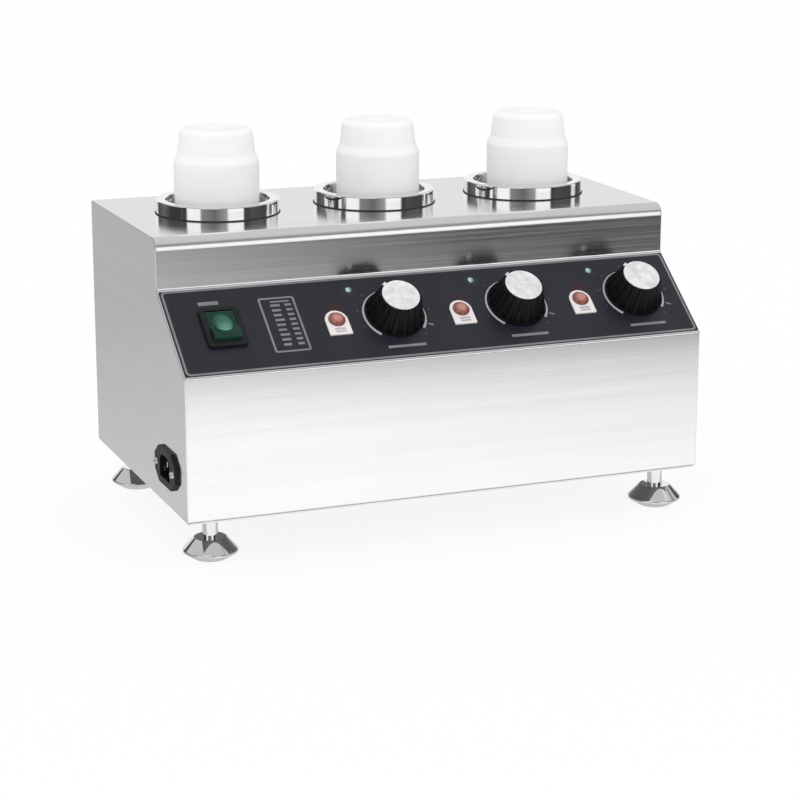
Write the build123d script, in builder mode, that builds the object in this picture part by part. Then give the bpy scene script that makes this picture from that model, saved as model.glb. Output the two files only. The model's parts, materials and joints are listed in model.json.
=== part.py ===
from build123d import *
import os
from math import atan2, cos, degrees, hypot, radians, sin

os.makedirs("parts", exist_ok=True)

# A countertop warmer that keeps three sauce bottles warm, nozzle down, in heated wells.
# Frame: millimetres, X to the right, Y to the back, Z up. The origin is on the floor,
# under the middle of the case.

# ------------------------------------------------------------------ driving dimensions
# case
case_width = 400.0
case_depth = 240.0
case_height = 190.0
front_height = 104.0  # lower front wall, up to the slope
slope_rise = 49.0
slope_run = 65.0
sheet = 1.2
top_bend = 9.0  # outside radius between the top and the upper front
edge_bend = 2.5  # outside radius of the other bends
base_flange = 13.0  # in-turned flanges that the bottom plate screws to
side_flange = 10.0  # flanges of the side panels, inside the wrap
plate_inset = 1.5  # bottom plate, in from the case's faces
side_edge_round = 0.9

# levelling feet
foot_height = 33.0  # floor to the case's lower edge
foot_inset_x = 23.0
foot_inset_front = 22.0
foot_inset_back = 28.0
foot_base_radius = 12.0
foot_rim_radius = 20.6
foot_rim_height = 5.4
foot_rim_round = 1.5
foot_crown_round = 1.0
foot_base_round = 0.8
foot_stop_gap = 0.2  # between the stem's shoulder and the bottom plate
foot_crown_radius = 11.4
foot_cone_height = 15.6
foot_stem_radius = 5.5
foot_stud_radius = 4.0
foot_travel = 8.0
foot_nut_flats = 13.0
foot_nut_height = 6.5

# wells
well_pitch = 125.0
well_from_front = 156.0
well_depth = 136.0  # top plate to the cup's floor
cup_radius = 37.0  # inside
cup_wall = 1.0
cup_corner = 7.0  # inside radius at the floor
cup_flange = 6.0
collar_outer_radius = 46.0
collar_inner_radius = 38.5
collar_height = 10.4
collar_edge = 1.2

# heaters
heater_thickness = 4.0
heater_height = 70.0
heater_rise = 30.0  # up from the cup's underside
heater_gap = 16.0
heater_ear = 3.0
heater_ear_reach = 13.0
terminal_post_radius = 3.5
terminal_post_length = 8.0
terminal_post_angle = 50.0

# bottles, standing on their nozzles
bottle_radius = 31.6
bottle_shift_x = (-0.4, 3.0, 3.6)  # how far each stands from the middle of its well
bottle_show = 63.0  # top plate to the bottle's upturned base
bottle_base_radius = 26.6
bottle_waist_radius = 28.8
bottle_waist_drop = 18.5  # upturned base to the step
bottle_step = 6.0  # height of the step out to the full radius
bottle_body_length = 133.0
bottle_shoulder = 13.0
bottle_neck_radius = 17.0
bottle_neck_length = 13.0
bottle_wall = 1.4
bottle_base_round = 5.0
bottle_shoulder_round = 12.0
bottle_neck_round = 2.5
bottle_step_round = 4.5
bottle_push_up = 2.5  # hollow of the base
bottle_lift = 240.0
cap_radius = 20.5
cap_height = 13.5
cap_face = 2.0
nozzle_root_radius = 9.0
nozzle_tip_radius = 3.2
nozzle_bore_radius = 1.5
nozzle_wall = 1.5
cap_grooves = 24
cap_groove_radius = 0.8
cap_edge_round = 1.5

# control overlay
overlay_side_margin = 1.0
overlay_low_margin = 1.5
overlay_high_margin = 1.8
overlay_thickness = 0.5
overlay_corner = 0.8

# rocker switch
switch_from_left = 38.5
switch_rise = 42.0  # up the slope
bezel_width = 29.0
bezel_length = 35.4
bezel_height = 3.4
bezel_corner = 2.5
bezel_chamfer = 1.0
switch_body_width = 25.0
switch_body_length = 32.0
switch_body_depth = 24.0
rocker_width = 20.4
rocker_length = 27.4
rocker_tilt = 12.0
rocker_depth = 6.0
rocker_middle = 2.2  # pivot to the bottom of the V on top
pivot_drop = 2.4  # bezel's face to the pivot
dome_radius = 6.6  # round lens in the middle of the rocker
dome_height = 5.0
rocker_pin_radius = 1.5
rocker_pin_length = 1.2
blade_width = 6.3
blade_thickness = 0.8
blade_length = 8.0
switch_tab_spread_x = 6.0
switch_tab_spread_s = 9.0

# lamps and LEDs
control_pitch = 96.3
lamp_from_knob = 45.2
lamp_rise = 40.0  # up the slope
lamp_plate_width = 17.0
lamp_plate_drop = 13.5  # lens centre to the plate's lower edge
lamp_plate_thickness = 1.2
lens_radius = 6.2
lens_height = 3.2
lens_edge = 0.8
lens_stem_radius = 4.0
lens_stem_length = 10.0
lamp_barrel_radius = 5.6
lamp_barrel_length = 20.0
lamp_tab_spread = 2.5
led_from_knob = 27.6
led_rise = 67.8  # up the slope
led_radius = 2.5
led_height = 1.4
led_flange_radius = 3.0
led_body_length = 6.0
led_leg_length = 9.0
led_leg_side = 0.6
led_leg_pitch = 2.54

# thermostats
last_knob_from_right = 39.5
knob_rise = 41.8  # up the slope
thermostat_width = 34.0
thermostat_depth = 22.0
bracket_width = 40.0
bracket_length = 30.0
bracket_thickness = 1.5
bushing_radius = 4.8
shaft_radius = 3.0
shaft_flat = 1.8  # axis to the flat
shaft_reach = 16.0  # above the sheet
shaft_flat_length = 11.0
shaft_depth = 13.0  # below the sheet
thermostat_screw_pitch = 28.0
bracket_corner = 3.0
thermostat_corner = 4.0
thermostat_tab_spread = 9.0
thermostat_tab_drop = 8.0
capillary_radius = 0.9
capillary_bend = 9.0
capillary_exit_rise = 9.0  # up the slope from the thermostat's axis
capillary_exit_run = 12.0
capillary_lane_rise = 10.0  # above the undersides of the cups
capillary_lane_gaps = (26.0, 11.0)  # before the heaters' ears
bulb_radius = 3.0
bulb_length = 62.0

# knobs
knob_lift = 0.6  # running gap over the overlay
skirt_radius = 22.0
skirt_height = 1.6
skirt_land = 3.6
skirt_recess = 2.4
skirt_rim = 0.6
skirt_bevel = 0.6
grip_foot_radius = 21.0
grip_top_radius = 15.4
grip_edge_round = 1.0
knob_height = 19.6
knob_hollow_radius = 13.6
knob_hub_radius = 6.0
knob_roof = 4.5
flute_count = 18
flute_radius = 2.6
flute_foot_depth = 1.3
flute_top_depth = 0.7
cap_disc_radius = 13.8
cap_disc_recess = 1.0
cap_disc_thickness = 1.5
pointer_angle = 128.0  # anticlockwise from X on the panel
pointer_width = 3.0
pointer_reach = 15.6
pointer_root = 6.0

# mains inlet on the left side
inlet_from_front = 46.0
inlet_rise = 29.0  # above the case's lower edge
inlet_flange_length = 50.0
inlet_flange_height = 27.0
inlet_flange_thickness = 2.4
inlet_end_height = 12.0  # the flange tapers to this at each end
inlet_body_length = 30.0
inlet_body_height = 23.0
inlet_body_depth = 22.0
inlet_body_corner = 2.0
inlet_flange_corner = 3.0
socket_length = 24.4
socket_height = 17.0
socket_corner = 5.0
socket_depth = 17.0
pin_width = 2.0
pin_height = 4.0
pin_length = 15.0
pin_pitch = 14.0
pin_row_offset = 2.0
tab_length = 9.0
inlet_screw_pitch = 40.0

# fasteners and wiring
m4_head = (3.6, 2.2)  # radius, height
base_head = (3.5, 1.1)  # low heads under the bottom plate
m3_head = (2.7, 1.8)
head_taper = 12.0  # degrees
m4_shank = 1.95
m3_shank = 1.45
hole_clearance = 0.15
base_screw_length = 8.0
base_screw_from_face = 8.8  # far enough in to be out of sight
collar_screw_length = 6.5
panel_screw_length = 7.0
base_screw_span_x = 130.0
base_screw_span_y = 60.0
lead_radius = 1.3
lead_bend = 6.0
lead_run_out = 10.0  # straight run from a blade before the first bend
lead_post_run = 12.0  # straight run from a heater's post
lead_lane_pitch = 8.0
feed_lane_z = 104.0
return_lane_z = 78.0
switched_run_out = 16.0
switched_run_step = 5.0
back_lane_gap = 14.0
neutral_rise = 22.0
block_from_middle_well = 80.0
block_behind_wells = 4.0
block_way_pitch = 11.0
block_ways = 6
block_width = 20.0
block_height = 16.0
block_entry_radius = 2.2
block_entry_depth = 6.0
block_lug = 6.0
block_lug_height = 5.0
block_screw_radius = 2.6
block_entry_rise = 8.0
block_screw_spread = 5.0
block_bevel = 1.5
earth_from_left = 60.0
earth_from_front = 32.0
earth_stud_height = 14.0
earth_nut_flats = 7.0
earth_nut_height = 3.2
slot_length = 32.0
slot_width = 3.0
slot_pitch = 8.0
slot_count = 10

# clearances
fit_gap = 0.1  # pieces that are fixed to each other
run_gap = 0.05  # radial gap of a running fit
free_gap = 0.3  # pieces on different bodies

# ------------------------------------------------------------------------ derived sizes
case_bottom = foot_height
case_top = case_bottom + case_height
front_y = -case_depth / 2
back_y = case_depth / 2
half_width = case_width / 2
slope_foot = (front_y, case_bottom + front_height)
slope_head = (front_y + slope_run, case_bottom + front_height + slope_rise)
slope_length = hypot(slope_run, slope_rise)
slope_angle = atan2(slope_rise, slope_run)
inner_half = half_width - sheet

panel = Plane(
    origin=(0, *slope_foot),
    x_dir=(1, 0, 0),
    z_dir=(0, -sin(slope_angle), cos(slope_angle)),
)
panel_back = -sheet  # lift of the sheet's underside
panel_face = overlay_thickness  # lift of the overlay's face

well_xs = [-well_pitch, 0.0, well_pitch]
well_y = front_y + well_from_front
cup_outer = cup_radius + cup_wall
well_hole = cup_outer + free_gap
cup_flange_radius = cup_outer + cup_flange
cup_floor = case_top - well_depth
cup_bottom = cup_floor - cup_wall
collar_screw_circle = (collar_inner_radius + cup_flange_radius) / 2
collar_screw_angles = (30, 150, 270)
heater_inner = cup_outer + fit_gap
heater_outer = heater_inner + heater_thickness
heater_bottom = cup_bottom + heater_rise
heater_top = heater_bottom + heater_height
heater_middle = (heater_bottom + heater_top) / 2
bulb_y = well_y - cup_outer - fit_gap - bulb_radius

knob_xs = [half_width - last_knob_from_right - n * control_pitch for n in (2, 1, 0)]
knob_places = [(x, knob_rise) for x in knob_xs]
lamp_places = [(x - lamp_from_knob, lamp_rise) for x in knob_xs]
led_places = [(x - led_from_knob, led_rise) for x in knob_xs]
switch_place = (switch_from_left - half_width, switch_rise)

foot_x = half_width - foot_inset_x
foot_front_y = front_y + foot_inset_front
foot_back_y = back_y - foot_inset_back
foot_places = [(x, y) for y in (foot_front_y, foot_back_y) for x in (-foot_x, foot_x)]
foot_stem_top = case_bottom - sheet - foot_stop_gap
foot_stud_top = case_bottom + foot_nut_height + foot_travel

base_screw_y = back_y - base_screw_from_face
side_screw_x = inner_half - side_flange / 2
base_screw_places = [(x, y) for y in (-base_screw_y, base_screw_y) for x in
                     (-base_screw_span_x, 0, base_screw_span_x)]
base_screw_places += [(x, y) for x in (-side_screw_x, side_screw_x) for y in
                      (-base_screw_span_y, base_screw_span_y)]

block_place = (-block_from_middle_well, well_y + block_behind_wells)
earth_place = (earth_from_left - half_width, front_y + earth_from_front)
block_length = block_ways * block_way_pitch
block_screw_places = [
    (block_place[0] + turn * (block_length + block_lug) / 2, block_place[1])
    for turn in (-1, 1)
]
block_way_xs = [
    block_place[0] + (way - (block_ways - 1) / 2) * block_way_pitch
    for way in range(block_ways)
]

inlet = Plane(
    origin=(-half_width, front_y + inlet_from_front, case_bottom + inlet_rise),
    x_dir=(0, -1, 0),
    z_dir=(-1, 0, 0),
)


def on_panel(place, lift=0.0):
    """A plane parallel to the sloping panel, with its origin over a control."""
    return Plane(
        origin=panel.from_local_coords((*place, lift)),
        x_dir=panel.x_dir,
        z_dir=panel.z_dir,
    )


def through(plane):
    """The plane that holds another plane's X and its normal, for revolved profiles."""
    return Plane(origin=plane.origin, x_dir=plane.x_dir, z_dir=-plane.y_dir)


def upright(x, y, z=0.0):
    """The vertical plane through a point, with its own Y pointing up."""
    return through(Plane(origin=(x, y, z)))


def up_axis(plane):
    """The axis of a profile plane from through() or upright()."""
    return Axis(plane.origin, plane.y_dir)


def turned_over(height):
    """A horizontal plane that faces down, for screws driven from below."""
    return Plane(origin=(0, 0, height), x_dir=(1, 0, 0), z_dir=(0, 0, -1))


def from_below(places):
    """Places in X and Y, as a turned-over plane counts them."""
    return [(x, -y) for x, y in places]


def round_corner(sketch, place, radius):
    """Round the corner of the open sketch that is nearest to a place."""
    fillet(sketch.vertices().sort_by_distance(place)[0], radius)


def crown(radius, foot, top):
    """Arc over the axis of a revolved profile, level at its top."""
    sphere = (radius**2 + (top - foot) ** 2) / (2 * (top - foot))
    middle = radius * 0.55
    return ThreePointArc(
        (radius, foot),
        (middle, top - sphere + (sphere**2 - middle**2) ** 0.5),
        (0, top),
    )


def flute_planes(plane):
    """Planes across the flutes of a grip that stands on plane, square to each leaning flute."""
    foot_circle = grip_foot_radius - flute_foot_depth + flute_radius
    top_circle = grip_top_radius - flute_top_depth + flute_radius
    rise = knob_height - skirt_height
    planes = []
    for turn in range(flute_count):
        out = plane.x_dir.rotate(Axis((0, 0, 0), plane.z_dir), turn * 360 / flute_count)
        lean = plane.z_dir * rise - out * (foot_circle - top_circle)
        planes.append(Plane(plane.origin + out * foot_circle, x_dir=lean.cross(out), z_dir=lean))
    return planes


def pan_screws(plane, places, head, shank, length):
    """Screws whose heads stand on the plane, and whose shanks go down through it."""
    head_radius, head_height = head
    with BuildPart() as screws:
        with BuildSketch(plane):
            with Locations(*places):
                Circle(head_radius)
        extrude(amount=head_height, taper=head_taper)
        with BuildSketch(plane.offset(head_height)):
            with Locations(*places):
                Rectangle(head_radius, head_radius / 4)
                Rectangle(head_radius / 4, head_radius)
        extrude(amount=-head_height / 2, mode=Mode.SUBTRACT)
        with BuildSketch(plane):
            with Locations(*places):
                Circle(shank)
        extrude(amount=-length)
    return screws


def leads(routes, radius, bend):
    """One round lead along each route, with its corners bent."""
    with BuildPart() as bundle:
        for route in routes:
            with BuildLine() as run:
                FilletPolyline(*route, radius=bend)
            with BuildSketch(Plane(origin=run.line @ 0, z_dir=run.line % 0)):
                Circle(radius)
            sweep(path=run.line)
    return bundle


# ---------------------------------------------------------------------------------- case
# The side outline of the case, in Y and Z, with its bends.
with BuildSketch(Plane.YZ) as case_outline:
    with BuildLine():
        Polyline(
            (back_y, case_bottom),
            (back_y, case_top),
            (slope_head[0], case_top),
            slope_head,
            slope_foot,
            (front_y, case_bottom),
            close=True,
        )
    make_face()
    top_corner = case_outline.vertices().sort_by_distance((slope_head[0], case_top))[0]
    sharp_corners = case_outline.vertices() - ShapeList([top_corner])
    fillet(sharp_corners, radius=edge_bend)
    top_corner = case_outline.vertices().sort_by_distance((slope_head[0], case_top))[0]
    fillet(top_corner, radius=top_bend)
outline_face = case_outline.sketch_local.face()

# Holes for everything that passes through the sloping panel.
with BuildSketch(panel) as panel_holes:
    with Locations(switch_place):
        Rectangle(switch_body_width + 2 * fit_gap, switch_body_length + 2 * fit_gap)
    with Locations(*lamp_places):
        Circle(lamp_barrel_radius + fit_gap)
    with Locations(*led_places):
        Circle(led_radius + fit_gap)
    with Locations(*knob_places):
        Circle(bushing_radius + fit_gap)
        with Locations((-thermostat_screw_pitch / 2, 0), (thermostat_screw_pitch / 2, 0)):
            Circle(m4_shank + hole_clearance)

with BuildSketch(Plane.XY) as collar_screw_holes:
    with Locations(*[(x, well_y) for x in well_xs]):
        for angle in collar_screw_angles:
            with PolarLocations(collar_screw_circle, 1, start_angle=angle):
                Circle(m3_shank + hole_clearance)

# Wrap: back, top, upper front, slope and lower front, folded from one sheet.
with BuildPart() as case_wrap:
    with BuildSketch(Plane.YZ.offset(-inner_half)):
        add(outline_face)
        offset(outline_face, amount=-sheet, kind=Kind.INTERSECTION, mode=Mode.SUBTRACT)
        with Locations((0, case_bottom)):
            Rectangle(case_depth - 2 * base_flange, 3 * sheet, mode=Mode.SUBTRACT)
    extrude(amount=2 * inner_half)
    with BuildSketch(Plane.XY.offset(case_top)):
        with Locations(*[(x, well_y) for x in well_xs]):
            Circle(well_hole)
        add(collar_screw_holes.sketch_local)
    extrude(amount=-2 * sheet, mode=Mode.SUBTRACT)
    extrude(panel_holes.sketch, amount=2 * sheet, both=True, mode=Mode.SUBTRACT)
    with BuildSketch(Plane.XY.offset(case_bottom)):
        with Locations(*base_screw_places):
            Circle(m4_shank + hole_clearance)
    extrude(amount=2 * sheet, mode=Mode.SUBTRACT)
case_wrap.part.label = "case_wrap"
export_step(case_wrap.part, "parts/case_wrap.step")

# The inlet's flange, body and socket outlines.
with BuildSketch() as inlet_flange_outline:
    with BuildLine():
        Polyline(
            (-inlet_flange_length / 2, -inlet_end_height / 2),
            (-inlet_body_length / 2, -inlet_flange_height / 2),
            (inlet_body_length / 2, -inlet_flange_height / 2),
            (inlet_flange_length / 2, -inlet_end_height / 2),
            (inlet_flange_length / 2, inlet_end_height / 2),
            (inlet_body_length / 2, inlet_flange_height / 2),
            (-inlet_body_length / 2, inlet_flange_height / 2),
            (-inlet_flange_length / 2, inlet_end_height / 2),
            close=True,
        )
    make_face()
    fillet(inlet_flange_outline.vertices(), radius=inlet_flange_corner)
inlet_screw_places = [(-inlet_screw_pitch / 2, 0), (inlet_screw_pitch / 2, 0)]

# Side panels: flat plates with flanges that sit inside the wrap.
for side, side_name in ((-1, "left"), (1, "right")):
    inner_face = Plane.YZ.offset(side * inner_half)
    with BuildPart() as side_panel:
        with BuildSketch(inner_face):
            add(outline_face)
        extrude(amount=side * sheet)
        outward = Axis((0, 0, 0), (side, 0, 0))
        fillet(side_panel.faces().sort_by(outward)[-1].edges(), side_edge_round)
        with BuildSketch(inner_face):
            offset(outline_face, amount=-sheet, kind=Kind.INTERSECTION)
            offset(
                outline_face,
                amount=-2 * sheet,
                kind=Kind.INTERSECTION,
                mode=Mode.SUBTRACT,
            )
            with Locations((0, case_bottom)):
                Rectangle(case_depth, 2 * (edge_bend + sheet), mode=Mode.SUBTRACT)
        extrude(amount=-side * side_flange)
        with BuildSketch(Plane.XY.offset(case_bottom)):
            with Locations((side * (inner_half - side_flange / 2), 0)):
                Rectangle(side_flange, case_depth - 2 * base_flange - 2 * free_gap)
            with Locations(*base_screw_places):
                Circle(m4_shank + hole_clearance, mode=Mode.SUBTRACT)
        extrude(amount=sheet)
        if side_name == "left":
            with BuildSketch(inlet):
                Rectangle(inlet_body_length + 2 * fit_gap, inlet_body_height + 2 * fit_gap)
                with Locations(*inlet_screw_places):
                    Circle(m3_shank + hole_clearance)
            extrude(amount=-2 * sheet, mode=Mode.SUBTRACT)
    side_panel.part.label = f"side_panel_{side_name}"
    export_step(side_panel.part, f"parts/side_panel_{side_name}.step")

# Bottom plate, screwed up against the flanges, with cooling slots under the wells.
with BuildPart() as bottom_plate:
    with BuildSketch(Plane.XY.offset(case_bottom - sheet)):
        Rectangle(case_width - 2 * plate_inset, case_depth - 2 * plate_inset)
        with Locations(*foot_places):
            Circle(foot_stud_radius + free_gap, mode=Mode.SUBTRACT)
        with Locations(*base_screw_places):
            Circle(m4_shank + hole_clearance, mode=Mode.SUBTRACT)
        with Locations((well_pitch, well_y), (0, well_y)):
            with GridLocations(slot_pitch, 1, slot_count, 1):
                SlotOverall(slot_length, slot_width, rotation=90, mode=Mode.SUBTRACT)
        with Locations(earth_place):
            Circle(m4_shank + fit_gap, mode=Mode.SUBTRACT)
        with Locations(*block_screw_places):
            Circle(m3_shank + fit_gap, mode=Mode.SUBTRACT)
    extrude(amount=sheet)
bottom_plate.part.label = "bottom_plate"
export_step(bottom_plate.part, "parts/bottom_plate.step")

# ---------------------------------------------------------------------------------- feet
for number, (x, y) in enumerate(foot_places, 1):
    foot_profile = upright(x, y)
    with BuildPart() as foot:
        with BuildSketch(foot_profile) as foot_half:
            with BuildLine():
                Polyline(
                    (0, 0),
                    (foot_base_radius, 0),
                    (foot_rim_radius, foot_rim_height),
                    (foot_crown_radius, foot_cone_height),
                    (foot_stem_radius, foot_cone_height),
                    (foot_stem_radius, foot_stem_top),
                    (foot_stud_radius, foot_stem_top),
                    (foot_stud_radius, foot_stud_top),
                    (0, foot_stud_top),
                    close=True,
                )
            make_face()
            round_corner(foot_half, (foot_rim_radius, foot_rim_height), foot_rim_round)
            round_corner(foot_half, (foot_crown_radius, foot_cone_height), foot_crown_round)
            round_corner(foot_half, (foot_base_radius, 0), foot_base_round)
        revolve(axis=up_axis(foot_profile))
    foot.part.label = f"foot_{number}"
    export_step(foot.part, f"parts/foot_{number}.step")

with BuildPart() as foot_nuts:
    with BuildSketch(Plane.XY.offset(case_bottom)):
        with Locations(*foot_places):
            RegularPolygon(foot_nut_flats / 2, 6, major_radius=False, rotation=30)
            Circle(foot_stud_radius + run_gap, mode=Mode.SUBTRACT)
    extrude(amount=foot_nut_height)
foot_nuts.part.label = "foot_nuts"
export_step(foot_nuts.part, "parts/foot_nuts.step")

# --------------------------------------------------------------------------------- wells
bottle_top = case_top + bottle_show
bottle_step_z = bottle_top - bottle_waist_drop
step_foot_z = bottle_step_z - bottle_step
shoulder_z = bottle_top - bottle_body_length
neck_z = shoulder_z - bottle_shoulder
neck_end = neck_z - bottle_neck_length
cap_top = neck_end - cap_face + cap_height
cap_end = neck_end - cap_face
nozzle_tip = cup_floor + free_gap

for number, x in enumerate(well_xs, 1):
    profile = upright(x, well_y)
    axis = up_axis(profile)

    # Collar: a polished ring with a rebate over the cup's flange.
    with BuildPart() as collar:
        with BuildSketch(profile) as collar_half:
            with BuildLine():
                Polyline(
                    (collar_inner_radius, case_top + cup_wall),
                    (cup_flange_radius + fit_gap, case_top + cup_wall),
                    (cup_flange_radius + fit_gap, case_top),
                    (collar_outer_radius, case_top),
                    (collar_outer_radius, case_top + collar_height),
                    (collar_inner_radius, case_top + collar_height),
                    close=True,
                )
            make_face()
            fillet(collar_half.vertices().group_by(Axis.Y)[-1], collar_edge)
        revolve(axis=axis)
        with BuildSketch(Plane.XY.offset(case_top + cup_wall)):
            with Locations((x, well_y)):
                for angle in collar_screw_angles:
                    with PolarLocations(collar_screw_circle, 1, start_angle=angle):
                        Circle(m3_shank)
        extrude(amount=collar_screw_length - sheet - cup_wall + fit_gap, mode=Mode.SUBTRACT)
    collar.part.label = f"well_collar_{number}"
    export_step(collar.part, f"parts/well_collar_{number}.step")

    # Cup: drawn sheet, hung by its flange.
    with BuildPart() as cup:
        with BuildSketch(profile) as cup_half:
            with BuildLine():
                Polyline(
                    (0, cup_bottom),
                    (cup_outer, cup_bottom),
                    (cup_outer, case_top),
                    (cup_flange_radius, case_top),
                    (cup_flange_radius, case_top + cup_wall),
                    (cup_radius, case_top + cup_wall),
                    (cup_radius, cup_floor),
                    (0, cup_floor),
                    close=True,
                )
            make_face()
            round_corner(cup_half, (cup_radius, cup_floor), cup_corner)
            round_corner(cup_half, (cup_outer, cup_bottom), cup_corner + cup_wall)
        revolve(axis=axis)
        with BuildSketch(Plane.XY.offset(case_top)):
            with Locations((x, well_y)):
                for angle in collar_screw_angles:
                    with PolarLocations(collar_screw_circle, 1, start_angle=angle):
                        Circle(m3_shank + hole_clearance)
        extrude(amount=cup_wall, mode=Mode.SUBTRACT)
    cup.part.label = f"well_cup_{number}"
    export_step(cup.part, f"parts/well_cup_{number}.step")

    # Band heater: a split sleeve with ears at the gap and two terminal posts.
    with BuildPart() as heater:
        with BuildSketch(Plane.XY.offset(heater_bottom)):
            with Locations((x, well_y)):
                Circle(heater_outer)
                with Locations((0, -(heater_outer + heater_ear_reach) / 2)):
                    Rectangle(heater_gap + 2 * heater_ear, heater_outer + heater_ear_reach)
                Circle(heater_inner, mode=Mode.SUBTRACT)
                with Locations((0, -(heater_outer + heater_ear_reach))):
                    Rectangle(
                        heater_gap,
                        2 * (heater_outer + heater_ear_reach),
                        mode=Mode.SUBTRACT,
                    )
        extrude(amount=heater_height)
        ear_y = well_y - heater_outer - heater_ear_reach / 2
        with BuildSketch(Plane.YZ.offset(x - heater_gap)):
            with Locations((ear_y, heater_middle)):
                Circle(m4_shank + hole_clearance)
        extrude(amount=2 * heater_gap, mode=Mode.SUBTRACT)
        for turn in (-terminal_post_angle, terminal_post_angle):
            outward = Vector(0, -1, 0).rotate(Axis.Z, turn)
            start = Vector(x, well_y, heater_bottom + heater_height / 4)
            with BuildSketch(Plane(start + outward * (heater_outer - 1), z_dir=outward)):
                Circle(terminal_post_radius)
            extrude(amount=terminal_post_length + 1)
    heater.part.label = f"heater_band_{number}"
    export_step(heater.part, f"parts/heater_band_{number}.step")

# Clamp screws through the heaters' ears, each with its nut.
ear_outside = heater_gap / 2 + heater_ear
with BuildPart() as clamp_screws:
    for x in well_xs:
        with BuildSketch(Plane.YZ.offset(x - ear_outside)):
            with Locations((ear_y, heater_middle)):
                Circle(m4_shank)
        extrude(amount=2 * ear_outside + m4_head[1] + 3)
        with BuildSketch(Plane.YZ.offset(x - ear_outside)):
            with Locations((ear_y, heater_middle)):
                Circle(m4_head[0])
        extrude(amount=-m4_head[1], taper=head_taper)
        with BuildSketch(Plane.YZ.offset(x + ear_outside)):
            with Locations((ear_y, heater_middle)):
                RegularPolygon(earth_nut_flats / 2, 6, major_radius=False)
        extrude(amount=earth_nut_height)
clamp_screws.part.label = "clamp_screws"
export_step(clamp_screws.part, "parts/clamp_screws.step")

# ------------------------------------------------------------------------------- bottles
for number, x in enumerate(well_xs, 1):
    profile = upright(x + bottle_shift_x[number - 1], well_y)
    axis = up_axis(profile)

    # Bottle: a blown shell, open only at its neck, which points down.
    with BuildPart() as bottle:
        with BuildSketch(profile) as bottle_half:
            with BuildLine():
                Polyline(
                    (0, neck_end),
                    (bottle_neck_radius, neck_end),
                    (bottle_neck_radius, neck_z),
                    (bottle_radius, shoulder_z),
                    (bottle_radius, step_foot_z),
                    (bottle_waist_radius, bottle_step_z),
                    (bottle_base_radius, bottle_top),
                    (bottle_base_radius - 2 * bottle_base_round, bottle_top),
                    (0, bottle_top - bottle_push_up),
                    close=True,
                )
            make_face()
            round_corner(bottle_half, (bottle_radius, shoulder_z), bottle_shoulder_round)
            round_corner(bottle_half, (bottle_neck_radius, neck_z), bottle_neck_round)
            round_corner(bottle_half, (bottle_radius, step_foot_z), bottle_step_round)
            round_corner(bottle_half, (bottle_waist_radius, bottle_step_z), bottle_step_round)
            round_corner(bottle_half, (bottle_base_radius, bottle_top), bottle_base_round)
        revolve(axis=axis)
        offset(amount=-bottle_wall, openings=bottle.faces().sort_by(Axis.Z)[0])
    bottle.part.label = f"bottle_{number}"
    export_step(bottle.part, f"parts/bottle_{number}.step")

    # Bottle cap: a grooved screw cap with its nozzle.
    with BuildPart() as bottle_cap:
        with BuildSketch(profile) as cap_half:
            with BuildLine():
                Polyline(
                    (nozzle_bore_radius, nozzle_tip),
                    (nozzle_tip_radius, nozzle_tip),
                    (nozzle_root_radius, cap_end),
                    (cap_radius, cap_end),
                    (cap_radius, cap_top),
                    (bottle_neck_radius + fit_gap, cap_top),
                    (bottle_neck_radius + fit_gap, neck_end),
                    (nozzle_root_radius - nozzle_wall, neck_end),
                    close=True,
                )
            make_face()
            round_corner(cap_half, (cap_radius, cap_end), cap_edge_round)
        revolve(axis=axis)
        with BuildSketch(Plane.XY.offset(cap_top)):
            with Locations((profile.origin.X, well_y)):
                with PolarLocations(cap_radius, cap_grooves):
                    Circle(cap_groove_radius)
        extrude(amount=-0.7 * cap_height, mode=Mode.SUBTRACT)
    bottle_cap.part.label = f"bottle_cap_{number}"
    export_step(bottle_cap.part, f"parts/bottle_cap_{number}.step")

# ----------------------------------------------------------------------- control overlay
overlay_length = slope_length - overlay_low_margin - overlay_high_margin
overlay_middle = overlay_low_margin + overlay_length / 2
with BuildPart() as control_overlay:
    with BuildSketch(panel):
        with Locations((0, overlay_middle)):
            RectangleRounded(
                case_width - 2 * overlay_side_margin, overlay_length, overlay_corner
            )
    extrude(amount=overlay_thickness)
    extrude(panel_holes.sketch, amount=2 * sheet, both=True, mode=Mode.SUBTRACT)
control_overlay.part.label = "control_overlay"
export_step(control_overlay.part, "parts/control_overlay.step")

# --------------------------------------------------------------------------- rocker switch
switch = on_panel(switch_place, panel_face)
pivot_lift = bezel_height - pivot_drop
tab_places = [
    (x * switch_tab_spread_x, s * switch_tab_spread_s) for x in (-1, 1) for s in (-1, 1)
]
cavity_width = rocker_width + 2 * free_gap
cavity_length = rocker_length + 2 * free_gap
pin_bore = rocker_pin_radius + run_gap
switch_back = -panel_face - sheet - switch_body_depth

with BuildPart() as switch_housing:
    with BuildSketch(switch):
        RectangleRounded(bezel_width, bezel_length, bezel_corner)
    extrude(amount=bezel_height)
    chamfer(
        switch_housing.faces().sort_by(Axis(switch.origin, switch.z_dir))[-1].edges(),
        bezel_chamfer,
    )
    with BuildSketch(switch):
        Rectangle(switch_body_width, switch_body_length)
    extrude(amount=switch_back)
    with BuildSketch(switch.offset(bezel_height)):
        Rectangle(cavity_width, cavity_length)
    extrude(amount=-bezel_height - switch_body_depth / 2, mode=Mode.SUBTRACT)
    with BuildSketch(Plane(switch.offset(pivot_lift).origin, z_dir=switch.x_dir)):
        Circle(pin_bore)
    extrude(
        amount=rocker_width / 2 + rocker_pin_length + free_gap,
        both=True,
        mode=Mode.SUBTRACT,
    )
    with BuildSketch(switch.offset(switch_back)):
        with Locations(*tab_places):
            Rectangle(blade_width, blade_thickness)
    extrude(amount=-blade_length)
switch_housing.part.label = "switch_housing"
export_step(switch_housing.part, "parts/switch_housing.step")

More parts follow.
